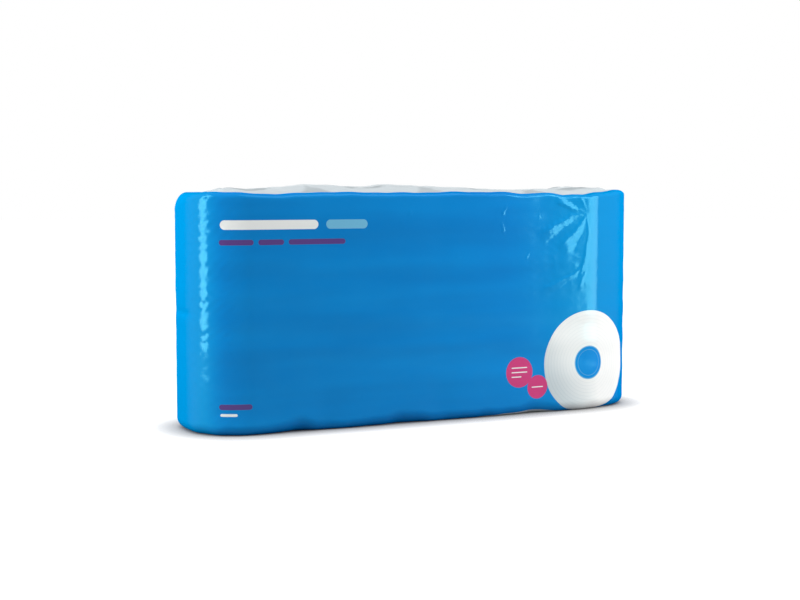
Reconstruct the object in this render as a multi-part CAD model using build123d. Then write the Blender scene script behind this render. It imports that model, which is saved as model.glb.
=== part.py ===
"""Sealed pack of toilet rolls in printed film, standing on its base.

Two layers of four soft rolls stand on end in one row. A film sleeve runs round them, drawn in a little between
neighbouring rolls and between the two layers. Its ends are folded in over the roll ends like the ends of a parcel:
the top closure stands up as a low hipped roof with a flat seal along its ridge, and the bottom closure is pressed
flat by the weight of the rolls. The pack is sealed, so it is one solid.

Millimetres, +X along the row of rolls, -Y to the printed front, +Z up, origin at the centre of the base.
"""

from build123d import *
import os

# The rolls, which set the size of the pack
ROLLS_ACROSS = 4
LAYERS = 2
ROLL_DIAMETER = 106.0
ROLL_WIDTH = 98.0

# The film sleeve
END_FLAT = 14.0  # flat strip that the taut film presses on each end roll
VALLEY_DEPTH = 1.6  # how far the film is drawn in between two rolls
WAIST_DEPTH = 1.0  # depth of the groove between two layers
EDGE_RADIUS = 11.0  # top and bottom edges, over the soft rims of the rolls

# The folded top closure
FOLD_THICKNESS = 0.6  # film layers at the outer edge of the folds
FOLD_INSET = 2.0  # how far inside the rounded edge the folds begin
TOP_RISE = 5.0  # height of the ridge above the roll ends
RIDGE_WIDTH = 18.0
SEAL_WIDTH = 12.0
SEAL_THICKNESS = 0.8

PACK_LENGTH = ROLLS_ACROSS * ROLL_DIAMETER
PACK_DEPTH = ROLL_DIAMETER
PACK_HEIGHT = LAYERS * ROLL_WIDTH
END_RADIUS = (PACK_DEPTH - END_FLAT) / 2
CLOSURE_MARGIN = EDGE_RADIUS + FOLD_INSET
CLOSURE_LENGTH = PACK_LENGTH - 2 * CLOSURE_MARGIN
CLOSURE_DEPTH = PACK_DEPTH - 2 * CLOSURE_MARGIN
RIDGE_LENGTH = CLOSURE_LENGTH - (CLOSURE_DEPTH - RIDGE_WIDTH)
SEAL_LENGTH = RIDGE_LENGTH - (RIDGE_WIDTH - SEAL_WIDTH)


def side_points(side_y):
    """Points of the back long side: the start of each end turn, and between them valleys and crests in turn."""
    turn_x = PACK_LENGTH / 2 - END_RADIUS
    points = [(-turn_x, side_y)]
    for half_rolls in range(2, 2 * ROLLS_ACROSS - 1):
        x = half_rolls * ROLL_DIAMETER / 2 - PACK_LENGTH / 2
        between_rolls = half_rolls % 2 == 0
        points.append((x, side_y - VALLEY_DEPTH if between_rolls else side_y))
    return points + [(turn_x, side_y)]


def film_plan(inset=0.0):
    """The sleeve seen from above, as a face: wavy long sides and round ends, each end with its flat strip."""
    points = side_points(PACK_DEPTH / 2 - inset)
    end_x = PACK_LENGTH / 2 - inset
    side = Spline(points, tangents=[(1, 0), (1, 0)])
    turn = TangentArc(points[-1], (end_x, END_FLAT / 2), tangent=(1, 0))
    flat = Line((end_x, END_FLAT / 2), (end_x, -END_FLAT / 2))
    sides = [side, mirror(side, Plane.XZ)]
    end = [turn, flat, mirror(turn, Plane.XZ)]
    return make_face(Curve() + sides + end + [mirror(curve, Plane.YZ) for curve in end])


def wrapped_layers():
    """One prism for each layer of rolls, bevelled where two layers meet and rounded at the base and the top."""
    plan, body = film_plan(), Part()
    for layer in range(LAYERS):
        prism = Pos(0, 0, layer * ROLL_WIDTH) * extrude(plan, ROLL_WIDTH)
        levels = prism.edges().group_by(Axis.Z)
        if layer > 0:
            prism = chamfer(levels[0], WAIST_DEPTH)
            levels = prism.edges().group_by(Axis.Z)
        if layer < LAYERS - 1:
            prism = chamfer(levels[-1], WAIST_DEPTH)
        body += prism
    levels = body.edges().group_by(Axis.Z)
    return fillet(levels[0] + levels[-1], EDGE_RADIUS)


def gable(length, ridge):
    """Profile of the roof over one width: fold thickness at the outside, rising to a flat ridge of that length."""
    return Polyline(
        (-length / 2, 0),
        (-length / 2, FOLD_THICKNESS),
        (-ridge / 2, TOP_RISE),
        (ridge / 2, TOP_RISE),
        (length / 2, FOLD_THICKNESS),
        (length / 2, 0),
        close=True,
    )


def top_closure():
    """The folded film on top: what two crossed gables leave of the flat top, with the seal lying on the ridge."""
    across = extrude(Plane.YZ * make_face(gable(CLOSURE_DEPTH, RIDGE_WIDTH)), PACK_LENGTH, both=True)
    along = extrude(Plane.XZ * make_face(gable(CLOSURE_LENGTH, RIDGE_LENGTH)), PACK_DEPTH, both=True)
    roof = extrude(film_plan(CLOSURE_MARGIN), TOP_RISE) & across & along
    seal = Pos(0, 0, TOP_RISE) * Box(
        SEAL_LENGTH, SEAL_WIDTH, SEAL_THICKNESS, align=(Align.CENTER, Align.CENTER, Align.MIN)
    )
    return Pos(0, 0, PACK_HEIGHT) * (roof + seal)


def main():
    roll_pack = wrapped_layers() + top_closure()
    os.makedirs("parts", exist_ok=True)
    export_step(roll_pack, "parts/roll_pack.step")
    print("pack", roll_pack.bounding_box().size, "solids", len(roll_pack.solids()), "volume", roll_pack.volume)


main()
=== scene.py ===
"""Sealed pack of toilet rolls in printed film: the film sleeve, its folded ends and seals, floor, lights and camera.

Row frame in metres: +X along the row of rolls, -Y to the printed front, +Z up, origin at the centre of the base.
"""

import math

import bpy
import numpy as np
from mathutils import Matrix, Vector


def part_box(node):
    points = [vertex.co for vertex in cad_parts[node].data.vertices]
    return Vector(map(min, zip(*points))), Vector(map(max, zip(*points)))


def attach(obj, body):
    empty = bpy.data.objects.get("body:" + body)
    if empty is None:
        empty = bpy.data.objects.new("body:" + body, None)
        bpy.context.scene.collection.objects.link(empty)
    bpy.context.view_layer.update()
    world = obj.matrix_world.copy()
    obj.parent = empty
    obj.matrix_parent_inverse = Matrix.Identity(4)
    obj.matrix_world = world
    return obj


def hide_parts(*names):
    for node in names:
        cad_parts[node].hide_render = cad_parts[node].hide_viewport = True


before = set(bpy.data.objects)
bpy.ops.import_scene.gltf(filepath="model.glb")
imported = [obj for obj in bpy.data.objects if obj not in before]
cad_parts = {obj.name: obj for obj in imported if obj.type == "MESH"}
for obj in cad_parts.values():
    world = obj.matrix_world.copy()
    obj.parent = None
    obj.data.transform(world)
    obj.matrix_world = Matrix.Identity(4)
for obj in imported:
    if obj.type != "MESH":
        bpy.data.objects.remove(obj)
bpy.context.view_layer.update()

MM = 0.001
PACK_LOW, PACK_HIGH = (np.array(corner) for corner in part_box("roll_pack"))
HALF_LENGTH = (PACK_HIGH[0] - PACK_LOW[0]) / 2
HALF_DEPTH = (PACK_HIGH[1] - PACK_LOW[1]) / 2
CLOSURE_RISE = 5.8 * MM  # the folded top stands this far above the roll ends
SLEEVE_HEIGHT = PACK_HIGH[2] - CLOSURE_RISE
LAYER_HEIGHT = SLEEVE_HEIGHT / 2
ROLLS_ACROSS = 4
ROLL_PITCH = 2 * HALF_LENGTH / ROLLS_ACROSS
ROLL_CENTRES = [(i - (ROLLS_ACROSS - 1) / 2) * ROLL_PITCH for i in range(ROLLS_ACROSS)]
ROLL_JOINS = [(i + 1 - ROLLS_ACROSS / 2) * ROLL_PITCH for i in range(ROLLS_ACROSS - 1)]
RIDGE_HALF = HALF_LENGTH - 50 * MM  # the ridge of the folded top reaches this far to either side
HEM_LAP = 12 * MM  # the sleeve runs on this far over the roll ends before the folds begin
FLAP_LAP = 0.9 * MM  # the long flaps of the folded top lie this much above the end flaps
FOLD_HALF_DEPTH = HALF_DEPTH - 18 * MM  # from the middle line to where the folds begin
ARC_EXCESS = 0.57  # a quarter of a circle is longer than its radius by this many radii


# ---- small maths for film ----------------------------------------------------------------------------------------


def swell(x, centre, reach):
    """Bell of height one: e to the minus square of the distance over the reach."""
    return np.exp(-(((x - centre) / reach) ** 2))


def ease(x, start, end):
    """0 before start, 1 after end, and 3t^2 - 2t^3 between them."""
    t = np.clip((x - start) / (end - start), 0, 1)
    return t * t * (3 - 2 * t)


def ripples(u, v, u_size, v_size, waves, seed):
    """Sum of plane waves with random phases whose lengths spread round u_size and v_size, brought to about -1 to 1."""
    rng = np.random.default_rng(seed)
    total = 0.0
    for _ in range(waves):
        ku, kv = rng.normal(0, 1 / u_size), rng.choice([-1, 1]) * rng.uniform(0.6, 1.5) / v_size
        total = total + np.sin(2 * np.pi * (ku * u + kv * v) + rng.uniform(0, 2 * np.pi))
    return total / math.sqrt(waves)


def pleat(u, v, start, angle, length, width, slope, side=1):
    """Height of a fold that leaves start at that angle: a wedge that widens along its length and then drops away. One
    flank is a plain slope as wide as the wedge, on its right for side 1; the other is three times as steep."""
    du, dv = u - start[0], v - start[1]
    along = du * math.cos(angle) + dv * math.sin(angle)
    across = side * (dv * math.cos(angle) - du * math.sin(angle))
    wander = 0.05 * length * np.sin(3.0 * along / length + 20 * angle)
    wander = wander + 0.5 * MM * ripples(along, across, 0.009, 0.02, 5, 71)
    across = across + wander * ease(along, 0, 0.3 * length)
    spread = width * (0.08 + 0.92 * np.clip(along / length, 0, 1))
    rise = slope * np.clip(spread - np.where(across > 0, across, -3 * across), 0, None)
    return rise * ease(along, -0.1 * width, 0.6 * width) * (1 - ease(along, 0.72 * length, length))


def all_pleats(u, v, folds):
    """The heights of a table of folds, added up: start, degrees, length and width in millimetres, slope, plain side."""
    total = 0.0
    for start, degrees, length, width, slope, side in folds:
        total = total + pleat(u, v, start, math.radians(degrees), length * MM, width * MM, slope, side)
    return total


# ---- the outline of the sleeve, seen from above --------------------------------------------------------------------


def quarter_outline(stations, degrees):
    """A quarter of the plan from the middle of a long side to the middle of an end: the heading turns through the
    given degrees at those stations along the way, is integrated, and the end point is scaled onto the pack's box."""
    s = np.linspace(0, stations[-1], 1600)
    heading = np.radians(np.interp(s, stations, degrees))
    step = np.diff(s, prepend=0)
    x, y = np.cumsum(np.cos(heading) * step), np.cumsum(np.sin(heading) * step)
    return np.stack([x * HALF_LENGTH / x[-1], HALF_DEPTH * (y / y[-1] - 1)], axis=1)


def sleeve_outline():
    """The whole plan, anticlockwise from the middle of the back, with distance along it from the middle of the
    front. The front right corner eases away before a soft crease; the others are plain round corners."""
    plain = quarter_outline([0, 0.166, 0.2383, 0.2453], [0, 0, 90, 90])
    stations = [0, 0.10, 0.146, 0.1495, 0.159, 0.163, 0.182, 0.2355, 0.2425]
    creased = quarter_outline(stations, [0, 0, 0.3, 1.5, 10, 16, 18, 90, 90])
    back_left = plain * [-1, -1]
    front_left = plain[::-1] * [-1, 1]
    back_right = plain[::-1] * [1, -1]
    points = np.concatenate([back_left, front_left[1:], creased[1:], back_right[1:]])
    distance = np.concatenate([[0], np.cumsum(np.linalg.norm(np.diff(points, axis=0), axis=1))])
    front_middle = distance[len(back_left) + len(front_left) - 2]
    return points, distance - front_middle


FILM_ENDS = sleeve_outline()[1][[0, -1]]  # where the two ends of the film lap over each other, at the back


def outline_columns(count):
    """Columns of the sleeve's grid, closer together on the right of the front: position, outward direction and
    distance from the middle of the front, with the first column repeated at the end."""
    points, distance = sleeve_outline()
    density = 1 + 1.6 * swell(distance, 0.125, 0.085) + 0.9 * swell(distance, -0.19, 0.06)
    density = density + 0.5 * ease(distance, -0.24, -0.2) * (1 - ease(distance, 0.2, 0.24))
    filled = np.cumsum(density * np.gradient(distance))
    s = np.interp(np.linspace(filled[0], filled[-1], count + 1), filled, distance)
    x, y = np.interp(s, distance, points[:, 0]), np.interp(s, distance, points[:, 1])
    tangent = np.stack([np.gradient(x), np.gradient(y)], axis=1)
    tangent[0] = tangent[-1] = (-1, 0)
    tangent /= np.linalg.norm(tangent, axis=1, keepdims=True)
    outward = np.stack([tangent[:, 1], -tangent[:, 0]], axis=1)
    return x, y, outward, s


# ---- the printed sleeve --------------------------------------------------------------------------------------------

COLUMNS = 544
PULL_POINT = (0.149, 0.178)  # where the film was gathered, near the top right corner of the front


def rim_height(s):
    """How far the top edge of the sleeve stands above or below its mean height along the way round."""
    dips = -1.3 * swell(s, -0.15, 0.022) - 2.2 * swell(s, 0.128, 0.014) - 1.6 * swell(s, 0.152, 0.012)
    ear = 2.6 * swell(s, 0.196, 0.016)
    waves = 0.35 * ripples(s, 0 * s, 0.05, 1, 6, 3)
    return (dips + ear - 1.0 * swell(s, 0.086, 0.012) + waves) * MM


def top_radii(s):
    """Height and width of the rounding over the upper roll rims: large at the left end, tight at the right."""
    left, right = swell(s, -0.272, 0.036), swell(s, 0.235, 0.04)
    return (4.5 + 11 * left - 0.5 * right) * MM, (6 + 3.5 * left - 2 * right) * MM


def bottom_radius(s):
    """Radius of the rounding under the lower roll rims: it opens in a dent beside each join between two rolls."""
    dents = swell(s, -0.130, 0.015) + 0.9 * swell(s, -0.030, 0.016) + 0.9 * swell(s, 0.095, 0.014)
    return (9 + 0.7 * ripples(s, 0 * s, 0.05, 1, 5, 8) + 5.5 * dents) * MM


def profile(s):
    """Rows of the grid for every column: inset from the outline, height, and print height. From under the base the
    film rounds the lower rim, climbs the wall and rounds the upper rim; the print height is measured along it."""
    low, (high_z, high_in) = bottom_radius(s), top_radii(s)
    turn = np.linspace(0, np.pi / 2, 13)[:, None]
    hem = np.linspace(1, 0, 5)[:-1, None] * HEM_LAP
    wall = np.linspace(0, 1, 150)[1:-1, None]
    top = SLEEVE_HEIGHT + rim_height(s)
    climb = low + wall * (top - low - high_z)
    inset = [low + hem, low * (1 - np.sin(turn)), 0 * wall * low, high_in * (1 - np.cos(turn)), high_in + hem[::-1]]
    z = [0 * hem * low, low * (1 - np.cos(turn)), climb, top - high_z * (1 - np.sin(turn)), top + 0 * hem]
    printed = [
        -ARC_EXCESS * low - hem,
        low - low * (np.pi / 2 - turn),
        climb,
        top + ARC_EXCESS * high_z * turn / turn[-1] - high_z * (1 - turn / turn[-1]),
        top + ARC_EXCESS * high_z + hem[::-1],
    ]
    return (np.concatenate(part) for part in (inset, z, printed))


def slack(u, z, outward, x):
    """How far the film stands off its plain surface: drawn in between rolls and between layers, with soft level
    tension bands, small crumples round the corners, and pleats that fan out from the pull point."""
    front = np.clip(-outward[:, 1], 0, 1) ** 2
    back = np.clip(outward[:, 1], 0, 1) ** 2
    low_part = 1 - ease(z, 0.0, 0.05)
    joins = sum(swell(x, join, 0.014) for join in ROLL_JOINS)
    waist = swell(z, LAYER_HEIGHT, 0.003) * (0.04 + 0.9 * np.abs(outward[:, 0]) ** 24)
    shape = -(0.3 + 0.9 * low_part) * joins * (front + back) - waist
    shape = shape + 0.5 * swell(x, -0.02, 0.12) * np.sin(np.pi * np.clip(z / SLEEVE_HEIGHT, 0, 1)) * front
    shape = shape - 1.6 * ease(z, 0.115, 0.20) * swell(u, 0.12, 0.05) * front
    bands = 0.17 * ripples(u, z, 0.9, 0.034, 7, 11)
    corner = np.abs(outward[:, 0] * outward[:, 1]) * 2
    left_corner = corner * (outward[:, 0] < 0)
    fine = (0.004 + 0.03 * corner) * ripples(u, z, 0.013, 0.011, 18, 21)
    fibres = (0.015 * corner + 0.065 * left_corner * ease(z, 0.05, 0.10)) * ripples(u, z, 0.014, 0.009, 12, 22)
    seam = 0.6 * (1 - ease(np.abs(x), 0.0064, 0.0074)) * (outward[:, 1] > 0.9)
    puckers = 0.3 * swell(x, 0, 0.035) * back * ripples(u, z, 0.02, 0.009, 12, 61)
    return (shape + bands + fine + fibres + seam + puckers) * MM + crumples(u, z) * front + back_folds(x, z) * back


# Folds of the front: start, direction in degrees, length and width in millimetres, slope, and the side that is plain
FRONT_FOLDS = (
    (PULL_POINT, 163, 36, 8, 0.14, -1),
    (PULL_POINT, 200, 56, 13, 0.11, 1),
    (PULL_POINT, 230, 46, 17, 0.065, 1),
    (PULL_POINT, 263, 66, 9, 0.05, 1),
    (PULL_POINT, 112, 18, 4, 0.10, 1),
    ((0.149, 0.135), 211, 58, 9, 0.10, 1),
    ((0.149, 0.128), 239, 22, 5, 0.08, 1),
    ((-0.026, 0.190), 256, 16, 2.5, 0.26, 1),
    ((-0.034, 0.176), 240, 9, 1.8, 0.26, 1),
    ((0.066, 0.188), 250, 14, 3, 0.19, 1),
    ((0.061, 0.178), 272, 20, 2.6, 0.19, 1),
    ((0.018, 0.160), 262, 24, 1.6, 0.22, 1),
    ((0.089, 0.144), 225, 7, 2.6, 0.22, 1),
    ((0.099, 0.180), 262, 8, 1.6, 0.17, 1),
    ((0.008, 0.196), 262, 5, 2.5, 0.24, 1),
)

# Folds of the back, in the same terms
BACK_FOLDS = (
    ((-0.165, 0.176), -28, 90, 14, 0.06, 1),
    ((-0.150, 0.184), -12, 70, 9, 0.07, 1),
    ((0.160, 0.172), 207, 80, 12, 0.06, 1),
    ((0.158, 0.030), 166, 70, 12, 0.05, 1),
    ((-0.150, 0.028), 12, 60, 10, 0.05, 1),
    ((0.020, 0.120), 10, 46, 7, 0.05, 1),
)


def crumples(u, z):
    """Folds that fan out from the pull point to the left and down, short stray ones, and a faint broken texture."""
    near = np.exp(-(((u - 0.122) / 0.036) ** 2 + ((z - 0.140) / 0.045) ** 2))
    return all_pleats(u, z, FRONT_FOLDS) + 0.10 * MM * near * (1 - np.abs(ripples(u, z, 0.02, 0.018, 8, 31)))


def back_folds(x, z):
    """Long slack folds of the back: they leave the upper and lower corners and run in towards the middle."""
    return all_pleats(x, z, BACK_FOLDS)


def grid_mesh(name, x, y, z, uv=None, wrap=False, attributes=None):
    """A mesh over a grid of rows by columns. With wrap, the last column stands for the first. Smooth shaded."""
    rows, cols = x.shape
    keep = cols - 1 if wrap else cols
    points = np.stack([a[:, :keep].ravel() for a in (x, y, z)], axis=1)
    r, c = np.meshgrid(np.arange(rows - 1), np.arange(cols - 1), indexing="ij")
    corners = [(r, c), (r, c + 1), (r + 1, c + 1), (r + 1, c)]
    faces = np.stack([(a * keep + b % keep).ravel() for a, b in corners], axis=1)
    mesh = bpy.data.meshes.new(name)
    mesh.from_pydata(points.tolist(), [], faces.tolist())
    if uv is not None:
        layer = mesh.uv_layers.new(name="film")
        loops = np.stack([np.stack([g[a, b].ravel() for a, b in corners], axis=1).ravel() for g in uv], axis=1)
        layer.data.foreach_set("uv", loops.ravel())
    for key, values in (attributes or {}).items():
        mesh.attributes.new(key, "FLOAT", "POINT").data.foreach_set("value", values[:, :keep].ravel())
    mesh.shade_smooth()
    mesh.update()
    return mesh


def add_piece(name, mesh, material):
    """Puts a finished mesh into the scene as a piece of the pack."""
    mesh.materials.append(material)
    piece = bpy.data.objects.new(name, mesh)
    bpy.context.scene.collection.objects.link(piece)
    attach(piece, "root")
    return piece


def make_sleeve(material):
    """The sleeve: outline moved in by the inset and out by the slack at each height."""
    x, y, outward, s = outline_columns(COLUMNS)
    inset, z, printed = profile(s)
    u = np.broadcast_to(s, z.shape)
    on_wall = np.clip(1 - inset / (4 * MM), 0, 1)
    off = slack(u, z, outward, x) * on_wall - inset
    mesh = grid_mesh("film_sleeve", x + off * outward[:, 0], y + off * outward[:, 1], z, (u, printed), True)
    return add_piece("film_sleeve", mesh, material)


# ---- folded ends and seals -----------------------------------------------------------------------------------------


def ridge_height(x):
    """Height of the gathered film along the middle of the top: a low ridge with uneven swells."""
    left = 4.2 * swell(x, -0.097, 0.033) + 3.9 * swell(x, -0.020, 0.035)
    right = 1.8 * swell(x, 0.035, 0.025) - 0.6 * swell(x, 0.102, 0.015) + 2.6 * swell(x, 0.165, 0.018)
    return (1.3 + left + right + 0.3 * ripples(x, 0 * x, 0.03, 1, 6, 5)) * MM


def roll_end_shade(x, y):
    """Painted shade on the milky film over the roll ends: darkest over the hole of each core, and in the gaps between.
    """
    shade = 0.0
    gap = 1.0
    for centre in ROLL_CENTRES:
        away = np.hypot(x - centre, y)
        shade = shade + 1 - ease(away, 0.019, 0.023) + 0.25 * swell(away, 0.0235, 0.0012)
        gap = gap * ease(away, 0.050, 0.056)
    return np.clip(shade + 0.8 * gap, 0, 1)


def top_rise(x, y, w):
    """Height of the folded top over the sleeve's edge, w of the way in from the edge to the middle line: it climbs to
    the ridge, with creases that fade at both ends of the way and a small bunch beyond each end of the ridge."""
    creases = 0.45 * ripples(x, y, 0.05, 0.018, 12, 41) + 0.5 * (1 - np.abs(ripples(x, y, 0.03, 0.02, 9, 43)))
    bunch = (2.8 * swell(x, 0.187, 0.008) + 2.0 * swell(x, -0.181, 0.009)) * swell(y, -0.012, 0.025)
    along = np.sin(np.pi * np.clip(w, 0, 1))
    return ridge_height(x) * (1 - (1 - w) ** 1.6) + (creases * along**0.7 + bunch * along**0.5) * MM


def fold_in(top, material):
    """Film of one end, from the sleeve's inner edge to the middle line, like the end of a parcel: every column runs
    straight inwards. The long panels lie over the end panels along the four slanting folds, and pleats cross them."""
    x, y, outward, s = outline_columns(COLUMNS)
    inset, z, printed = profile(s)
    row = -1 if top else 0
    ring_x, ring_y = x - inset[row] * outward[:, 0], y - inset[row] * outward[:, 1]
    middle_x = np.clip(ring_x, -RIDGE_HALF, RIDGE_HALF)
    w = np.linspace(0, 1, 40 if top else 16)[:, None]
    px, py = ring_x + (middle_x - ring_x) * w, ring_y * (1 - w)
    way = np.hypot(middle_x - ring_x, ring_y) * w
    long_panel = ease(np.abs(ring_y), 0.024, 0.027)
    if top:
        lap = FLAP_LAP * long_panel * ease(w, 0.0, 0.12)
        fan = ripples(s + 0 * w, 0 * w, 0.012, 1, 8, 44) * ease(w, 0.2, 0.6) * (1 - ease(w, 0.6, 0.95))
        rise = top_rise(px, py, w) + lap + 0.6 * MM * fan * (1 - long_panel)
        pz = SLEEVE_HEIGHT + (z[row] - SLEEVE_HEIGHT) * (1 - ease(w, 0, 0.75)) + rise
    else:
        pz = (0.35 + 0.5 * long_panel + 0.25 * ripples(px, py, 0.04, 0.02, 10, 47)) * MM * ease(w, 0.0, 0.15)
        pz = np.maximum(pz, 0.05 * MM * w)
    uv = (np.broadcast_to(s, px.shape), printed[row] + (way if top else -way))
    if not top:
        px, py, pz, uv = px[::-1], py[::-1], pz[::-1], tuple(np.asarray(g)[::-1] for g in uv)
    name = "top_fold" if top else "bottom_fold"
    # the painted shade over the roll ends goes to the film as the roll_end attribute
    mesh = grid_mesh(name, px, py, pz, uv, True, {"roll_end": roll_end_shade(px, py)})
    return add_piece(name, mesh, material)


def make_seal(name, level, width, lean, up, material):
    """A flat welded ribbon along the middle line, up or down off the film it lies on: level for most of its width,
    it dips into the film at its edges and ends by a high power of the distance from its middle."""
    x = np.linspace(-1, 1, 300) * (RIDGE_HALF + 4 * MM)
    t = np.linspace(-1, 1, 17)[:, None] * up
    wander = 0.8 * MM * ripples(x, 0 * x, 0.09, 1, 5, 51)
    y = t * width / 2 + lean + wander
    dip = np.clip(np.abs(t) ** 20 + (np.abs(x) / x[-1]) ** 80, 0, 1)
    stand = 0.45 + 0.12 * ripples(x + 0 * t, y, 0.03, 0.02, 8, 53) - 0.8 * dip
    mesh = grid_mesh(name, x + 0 * t, y, level(x, y) + up * stand * MM, (x + 0 * t, y))
    return add_piece(name, mesh, material)


def over_top(x, y):
    """Height of the folded top near its middle line."""
    return SLEEVE_HEIGHT + FLAP_LAP + top_rise(x, y, 1 - np.abs(y) / FOLD_HALF_DEPTH)


# ---- materials -----------------------------------------------------------------------------------------------------


def srgb(red, green, blue):
    """Screen colour from 0 to 255 as the linear colour that shaders take."""
    c = np.array([red, green, blue]) / 255
    return (*np.where(c <= 0.04045, c / 12.92, ((c + 0.055) / 1.055) ** 2.4), 1.0)


class Recipe:
    """Shorthand for wiring one material's nodes. A value may be a number, a colour or another node's output."""

    def __init__(self, name):
        self.material = bpy.data.materials.new(name)
        self.material.use_nodes = True
        self.nodes, self.links = self.material.node_tree.nodes, self.material.node_tree.links
        self.shader = self.nodes["Principled BSDF"]

    def put(self, socket, value):
        """Links an output to the socket, or sets a constant on it."""
        if isinstance(value, bpy.types.NodeSocket):
            self.links.new(value, socket)
        else:
            socket.default_value = value

    def math(self, operation, *values, clamp=False):
        """Output of one arithmetic step on the values, held between 0 and 1 with clamp."""
        node = self.nodes.new("ShaderNodeMath")
        node.operation, node.use_clamp = operation, clamp
        for socket, value in zip(node.inputs, values):
            self.put(socket, value)
        return node.outputs[0]

    def noise(self, vector, stretch, detail=2.0, roughness=0.5):
        """Noise from 0 to 1 with stretch cells to the metre each way."""
        mapping = self.nodes.new("ShaderNodeMapping")
        mapping.inputs["Scale"].default_value = stretch
        self.put(mapping.inputs["Vector"], vector)
        node = self.nodes.new("ShaderNodeTexNoise")
        node.inputs["Scale"].default_value = 1.0
        node.inputs["Detail"].default_value, node.inputs["Roughness"].default_value = detail, roughness
        self.put(node.inputs["Vector"], mapping.outputs[0])
        return node.outputs["Fac"]

    def mix(self, share, a, b):
        """Colour a (1 - share) + b share."""
        node = self.nodes.new("ShaderNodeMix")
        node.data_type = "RGBA"
        for socket, value in zip((node.inputs[0], node.inputs[6], node.inputs[7]), (share, a, b)):
            self.put(socket, value)
        return node.outputs[2]

    def span(self, value, low, high, new_low=0.0, new_high=1.0):
        """new_low where value is under low, new_high where it is over high, and a smooth step between them."""
        node = self.nodes.new("ShaderNodeMapRange")
        node.interpolation_type = "SMOOTHSTEP"
        for socket, number in zip(node.inputs, (value, low, high, new_low, new_high)):
            self.put(socket, number)
        return node.outputs[0]

    def between(self, value, low_out, low_in, high_in, high_out):
        """1 from low_in to high_in, falling smoothly to 0 at low_out and high_out."""
        return self.math("MULTIPLY", self.span(value, low_out, low_in), self.span(value, high_in, high_out, 1.0, 0.0))

    def bump(self, height, distance, strength, under=None):
        """Surface direction bent by a height that stands for that distance, on top of the bump under it."""
        node = self.nodes.new("ShaderNodeBump")
        node.inputs["Strength"].default_value, node.inputs["Distance"].default_value = strength, distance
        self.put(node.inputs["Height"], height)
        if under is not None:
            self.put(node.inputs["Normal"], under)
        return node.outputs[0]

    def film_place(self):
        """Distance along the film from the middle of the front, and print height, both in metres."""
        uv = self.nodes.new("ShaderNodeUVMap")
        uv.uv_map = "film"
        split = self.nodes.new("ShaderNodeSeparateXYZ")
        self.put(split.inputs[0], uv.outputs[0])
        return uv.outputs[0], split.outputs[0], split.outputs[1]

    def bar(self, u, v, left, right, height, thickness):
        """1 inside a bar with round ends: its distance from the centre line is under half the thickness."""
        from_middle = self.math("ABSOLUTE", self.math("SUBTRACT", u, (left + right) / 2))
        beyond = self.math("MAXIMUM", self.math("SUBTRACT", from_middle, (right - left - thickness) / 2), 0.0)
        return self.disc_of(beyond, self.math("SUBTRACT", v, height), thickness / 2)

    def disc(self, u, v, centre, radius):
        """1 inside a disc round that centre."""
        return self.disc_of(self.math("SUBTRACT", u, centre[0]), self.math("SUBTRACT", v, centre[1]), radius)

    def disc_of(self, du, dv, radius):
        """1 where the distance whose sides are du and dv is under the radius, with an edge 0.4 mm wide."""
        return self.span(self.length(du, dv), radius - 0.2 * MM, radius + 0.2 * MM, 1.0, 0.0)

    def fade_gloss(self):
        """Gloss that is full where the film is seen square on and dies away at glancing angles, as a cube."""
        glance = self.nodes.new("ShaderNodeLayerWeight")
        glance.inputs["Blend"].default_value = 0.5
        square_on = self.math("POWER", self.span(glance.outputs["Facing"], 0.14, 0.75, 1.0, 0.0), 3.0)
        self.put(self.shader.inputs["Specular IOR Level"], self.math("MULTIPLY", square_on, 0.5))

    def length(self, du, dv):
        """Square root of du^2 + dv^2."""
        return self.math("SQRT", self.math("ADD", self.math("MULTIPLY", du, du), self.math("MULTIPLY", dv, dv)))


FILM_BLUE = srgb(0, 137, 220)
DEEP_BLUE = srgb(0, 122, 204)
PAINTED_LIT_BLUE = srgb(0, 146, 214)  # painted light: lighter blue where the strip lights fall, at the left end and round the pull point
PRINT_WHITE = srgb(250, 250, 248)
SHADE_GREY = srgb(196, 206, 211)
SEAM_BLUE = srgb(0, 96, 172)
PRINT_RIM = srgb(122, 186, 222)
PRINT_PALE_BLUE = srgb(120, 190, 226)
PRINT_PURPLE = srgb(96, 44, 128)
PRINT_PINK = srgb(216, 46, 122)
MILKY = srgb(206, 214, 218)
# MILKY_SHADE is the painted shade of the milky film over the holes and gaps of the roll ends
MILKY_SHADE = srgb(150, 158, 162)
MILKY_WELD = srgb(224, 229, 231)
FILM_GLOSS_TINT = (0.14, 0.80, 0.85, 1.0)
MILKY_GLOSS_TINT = (0.95, 0.98, 1.0, 1.0)

ROLL_PRINT = (0.152, 0.043)  # middle of the printed roll, along the film and up it
PRINT_DISCS = (((0.079, 0.038), 0.0135), ((0.098, 0.024), 0.0105))  # middle and radius

# Plain bars of the print in millimetres: left end, right end, height of the middle line, thickness, and ink
PRINT_BARS = (
    (-195, -112, 170, 7.5, PRINT_WHITE),
    (-105, -68, 170, 7.5, PRINT_PALE_BLUE),
    (-196, -168, 156, 4.4, PRINT_PURPLE),
    (-164, -142, 156, 4.4, PRINT_PURPLE),
    (-138, -88, 156, 4.4, PRINT_PURPLE),
    (-197, -170, 24, 4.4, PRINT_PURPLE),
    (-196, -182, 17.5, 2.2, PRINT_WHITE),
)
DISC_LINES = (
    (71, 87, 42.0, 0.9, PRINT_WHITE),
    (71, 87, 38.0, 0.9, PRINT_WHITE),
    (71, 81, 34.0, 0.9, PRINT_WHITE),
    (92, 104, 24.0, 0.9, PRINT_WHITE),
)


def with_bars(r, u, v, colour, bars):
    """The colour with a table of bars printed over it."""
    for left, right, height, thickness, ink in bars:
        mask = r.bar(u, v, left * MM, right * MM, height * MM, thickness * MM)
        colour = r.mix(mask, colour, ink)
    return colour


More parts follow.
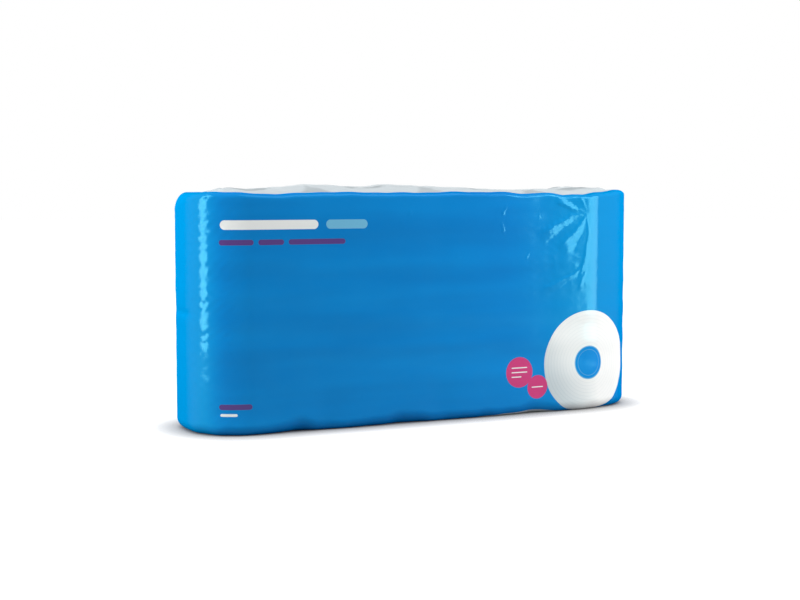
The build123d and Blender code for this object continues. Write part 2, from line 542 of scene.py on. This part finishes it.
def with_roll(r, u, v, colour, cloud):
    """The colour with a white roll seen end on printed over it: faint turns of paper, greyer to the lower left, round
    a blue core with a pale rim and a fainter ring inside it."""
    du, dv = r.math("SUBTRACT", u, ROLL_PRINT[0]), r.math("SUBTRACT", v, ROLL_PRINT[1])
    from_core = r.length(du, dv)
    uneven = r.math("ADD", from_core, r.math("MULTIPLY", cloud, 2.4 * MM))
    turns = r.math("SINE", r.math("MULTIPLY", uneven, 2 * math.pi / (3.1 * MM)))
    faint_turns = r.math("MULTIPLY", r.span(turns, 0.55, 1.0), 0.12)
    low_left = r.math("ADD", r.math("MULTIPLY", du, -0.8), r.math("MULTIPLY", dv, -0.6))
    shaded = r.math("MULTIPLY", r.span(low_left, 0.006, 0.044), 0.75)
    paper = r.mix(r.math("ADD", faint_turns, shaded, clamp=True), PRINT_WHITE, SHADE_GREY)
    colour = r.mix(r.span(from_core, 46.9 * MM, 47.3 * MM, 1.0, 0.0), colour, paper)
    colour = r.mix(r.span(from_core, 14.4 * MM, 14.8 * MM, 1.0, 0.0), colour, FILM_BLUE)
    colour = r.mix(r.between(from_core, 14.2 * MM, 14.6 * MM, 15.0 * MM, 15.4 * MM), colour, PRINT_RIM)
    tube = r.between(from_core, 11.2 * MM, 11.6 * MM, 11.8 * MM, 12.2 * MM)
    return r.mix(r.math("MULTIPLY", tube, 0.5), colour, PRINT_RIM)


def unprinted_share(r, place, u, v):
    """1 where the film has no ink: beyond the upper rim, further in at both ends, and under the lower rim, where the
    uneven edge of the ink comes into sight on the right of the front."""
    edge = r.noise(place, (25.0, 0.0, 1.0), 2.0)
    uneven = r.math("MULTIPLY", r.math("SUBTRACT", edge, 0.5), 4 * MM)
    bare_hem = r.math("MULTIPLY", r.between(u, 0.02, 0.07, 0.10, 0.15), -6.2 * MM)
    low_edge = r.math("ADD", r.math("ADD", v, uneven), bare_hem)
    at_end = r.between(r.math("ABSOLUTE", u), 0.222, 0.238, 0.256, 0.272)
    margin = r.math("ADD", v, r.math("MULTIPLY", at_end, -14 * MM))
    top_edge = r.span(margin, SLEEVE_HEIGHT + 6.0 * MM, SLEEVE_HEIGHT + 6.6 * MM)
    return r.math("MAXIMUM", top_edge, r.span(low_edge, -5.4 * MM, -4.8 * MM, 1.0, 0.0))


def milky_colour(r, cloud):
    """Cloudy milky film, with painted shade where the holes and gaps of the roll ends lie under it."""
    painted_shade_node = r.nodes.new("ShaderNodeAttribute")
    painted_shade_node.attribute_name = "roll_end"
    painted_hole_shade = r.math("MULTIPLY", painted_shade_node.outputs["Fac"], 0.55)
    cloudy = r.math("MULTIPLY", r.math("SUBTRACT", cloud, 0.5), 0.8)
    return r.mix(r.math("ADD", painted_hole_shade, cloudy, clamp=True), MILKY, MILKY_SHADE)


def printed_film():
    """Glossy blue film with plain bars where its words would be, two pink discs and a white roll seen end on, and
    painted light at the left end and on the right of the front.
    """
    r = Recipe("printed film")
    place, u, v = r.film_place()
    bands = r.noise(place, (3.0, 34.0, 1.0), 2.0, 0.5)
    cloud = r.noise(place, (14.0, 20.0, 1.0), 2.0)
    tone = r.math("ADD", r.math("MULTIPLY", bands, 0.75), r.math("MULTIPLY", cloud, 0.25))
    colour = r.mix(r.span(tone, 0.3, 0.7), DEEP_BLUE, FILM_BLUE)
    # painted light: the blue is lighter on the right of the front, more so higher up, and at the left end, where the
    # lamps light the film
    painted_light_share = r.math("MULTIPLY", r.span(u, 0.06, 0.15), r.span(v, 0.03, 0.11, 0.35, 0.85))
    painted_light_share = r.math("MAXIMUM", painted_light_share, r.span(u, -0.215, -0.19, 1.0, 0.0))
    colour = r.mix(painted_light_share, colour, PAINTED_LIT_BLUE)
    seam = r.math(
        "MAXIMUM",
        r.span(u, FILM_ENDS[0] + 7.4 * MM, FILM_ENDS[0] + 6.8 * MM),
        r.span(u, FILM_ENDS[1] - 7.4 * MM, FILM_ENDS[1] - 6.8 * MM),
    )
    colour = r.mix(r.math("MULTIPLY", seam, 0.4), colour, SEAM_BLUE)
    colour = with_bars(r, u, v, colour, PRINT_BARS)
    colour = with_roll(r, u, v, colour, cloud)
    for centre, radius in PRINT_DISCS:
        colour = r.mix(r.disc(u, v, centre, radius), colour, PRINT_PINK)
    colour = with_bars(r, u, v, colour, DISC_LINES)
    unprinted = unprinted_share(r, place, u, v)
    colour = r.mix(unprinted, colour, milky_colour(r, cloud))
    r.put(r.shader.inputs["Base Color"], colour)
    r.fade_gloss()
    gloss = r.noise(place, (60.0, 90.0, 1.0), 3.0)
    r.put(r.shader.inputs["Roughness"], r.span(gloss, 0.3, 0.7, 0.09, 0.16))
    r.put(r.shader.inputs["Specular Tint"], r.mix(unprinted, FILM_GLOSS_TINT, MILKY_GLOSS_TINT))
    tissue = r.noise(place, (330.0, 330.0, 1.0), 2.0, 0.6)
    creases = r.noise(place, (40.0, 160.0, 1.0), 3.0, 0.6)
    r.put(r.shader.inputs["Normal"], r.bump(creases, 0.12 * MM, 0.5, r.bump(tissue, 0.05 * MM, 0.5)))
    return r.material


def welded_film():
    """Milky film with fine crimp ribs across the weld, a little duller than the loose film."""
    r = Recipe("welded film")
    place, u, v = r.film_place()
    tone = r.noise(place, (30.0, 120.0, 1.0), 3.0)
    r.put(r.shader.inputs["Base Color"], r.mix(tone, MILKY, MILKY_WELD))
    r.put(r.shader.inputs["Roughness"], r.span(tone, 0.3, 0.7, 0.22, 0.34))
    r.fade_gloss()
    ribs = r.math("SINE", r.math("MULTIPLY", u, 2 * math.pi / (1.6 * MM)))
    in_weld = r.span(r.math("ABSOLUTE", v), 3.2 * MM, 3.8 * MM, 1.0, 0.0)
    pucker = r.noise(place, (90.0, 90.0, 1.0), 2.0)
    puckers = r.bump(pucker, 0.6 * MM, 0.6)
    r.put(r.shader.inputs["Normal"], r.bump(r.math("MULTIPLY", ribs, in_weld), 0.12 * MM, 0.8, puckers))
    return r.material


# ---- floor, lights and camera --------------------------------------------------------------------------------------

STRIP_DISTANCE = 0.75  # of the strip lights from the middle of the pack
FLOOR_RADIUS = 9.0
CONTACT_REACH = 0.03  # how far from the pack its contact shadow ends
FLOOR_WHITE = 0.92  # strength of the white that the eye sees on open floor
EYE = (-0.5648, -1.1222, SLEEVE_HEIGHT)
LENS = 64.05  # millimetres, for a sensor 36 mm wide
LOOK_DOWN, LOOK_RIGHT = 4.33, 26.23  # degrees


def add_softbox(name, place, target, size, power, mirrored=True):
    """A soft light of that width and height at place, its face towards target, seen in glossy film if mirrored."""
    data = bpy.data.lights.new(name, "AREA")
    data.shape, data.size, data.size_y, data.energy = "RECTANGLE", size[0], size[1], power
    lamp = bpy.data.objects.new(name, data)
    lamp.location = place
    lamp.rotation_euler = (Vector(target) - Vector(place)).to_track_quat("-Z", "Y").to_euler()
    lamp.visible_camera, lamp.visible_glossy = False, mirrored
    bpy.context.scene.collection.objects.link(lamp)


def add_strip(name, azimuth, width, low, high, power):
    """An upright strip light beside the pack, standing at that azimuth and reaching from low to high."""
    a = math.radians(azimuth)
    place = (STRIP_DISTANCE * math.sin(a), -STRIP_DISTANCE * math.cos(a), (low + high) / 2)
    add_softbox(name, place, (0, 0, place[2]), (width, high - low), power)


def seen_or_mirrored(nodes, links):
    """1 for rays from the eye and for those that come by way of gloss or of something clear, otherwise 0."""
    path = nodes.new("ShaderNodeLightPath")
    seen = path.outputs["Is Camera Ray"]
    for ray in ("Is Glossy Ray", "Is Transmission Ray"):
        either = nodes.new("ShaderNodeMath")
        either.operation = "MAXIMUM"
        links.new(seen, either.inputs[0])
        links.new(path.outputs[ray], either.inputs[1])
        seen = either.outputs[0]
    return seen


def make_floor():
    """A flat white disc whose rings lie closer together near the pack, darker only in the pack's contact shadow."""
    radius = FLOOR_RADIUS * np.linspace(1, 0, 40)[:, None] ** 2
    turn = np.linspace(0, 2 * np.pi, 97)
    mesh = grid_mesh("floor", radius * np.cos(turn), radius * np.sin(turn), 0 * radius * turn, None, True)
    floor = bpy.data.objects.new("floor", mesh)
    bpy.context.scene.collection.objects.link(floor)
    r = Recipe("floor")
    r.shader.inputs["Base Color"].default_value = (0.3, 0.3, 0.3, 1)
    r.shader.inputs["Roughness"].default_value = 0.8
    r.shader.inputs["Specular IOR Level"].default_value = 0.0
    seen = seen_or_mirrored(r.nodes, r.links)
    contact = r.nodes.new("ShaderNodeAmbientOcclusion")
    contact.inputs["Distance"].default_value, contact.samples = CONTACT_REACH, 8
    open_sky = r.math("MULTIPLY", r.math("POWER", contact.outputs["AO"], 2.0), FLOOR_WHITE)
    r.shader.inputs["Emission Color"].default_value = (1, 1, 1, 1)
    r.put(r.shader.inputs["Emission Strength"], r.math("MULTIPLY", seen, open_sky))
    mesh.materials.append(r.material)


def make_world(level):
    """Plain white surroundings: full strength where they are seen or mirrored, and that level as light."""
    world = bpy.data.worlds.new("studio")
    bpy.context.scene.world = world
    world.use_nodes = True
    nodes, links = world.node_tree.nodes, world.node_tree.links
    background = nodes["Background"]
    pick = nodes.new("ShaderNodeMapRange")
    pick.inputs["To Min"].default_value, pick.inputs["To Max"].default_value = level, 1.0
    links.new(seen_or_mirrored(nodes, links), pick.inputs["Value"])
    background.inputs["Color"].default_value = (1, 1, 1, 1)
    links.new(pick.outputs[0], background.inputs["Strength"])


def make_camera():
    """The front seen from its left, with the eye level with the top edge and looking slightly down."""
    data = bpy.data.cameras.new("camera")
    camera = bpy.data.objects.new("camera", data)
    data.sensor_width, data.lens = 36, LENS
    camera.location = EYE
    camera.rotation_euler = (math.radians(90 - LOOK_DOWN), 0, math.radians(-LOOK_RIGHT))
    bpy.context.scene.collection.objects.link(camera)
    bpy.context.scene.camera = camera


film = printed_film()
sleeve = make_sleeve(film)
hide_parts("roll_pack")
welded = welded_film()
fold_in(True, film)
fold_in(False, film)
make_seal("top_seal", over_top, 13 * MM, -1.5 * MM, 1, welded)
make_seal("bottom_seal", lambda x, y: 0.7 * MM, 11 * MM, 1.0 * MM, -1, welded)
make_floor()
make_world(0.55)
add_strip("left strip", -88.5, 0.165, 0.012, 0.75, 3.5)
add_strip("right strip", 49.8, 0.21, 0.012, 0.75, 3.6)
add_softbox("top light", (0.25, -0.45, 1.25), (0, 0, 0.15), (0.9, 0.6), 3)
add_softbox("back light", (-0.3, 1.3, 0.7), (0, 0, 0.1), (1.2, 0.9), 9, mirrored=False)
make_camera()

view_settings = bpy.context.scene.view_settings
view_settings.view_transform = "Standard"
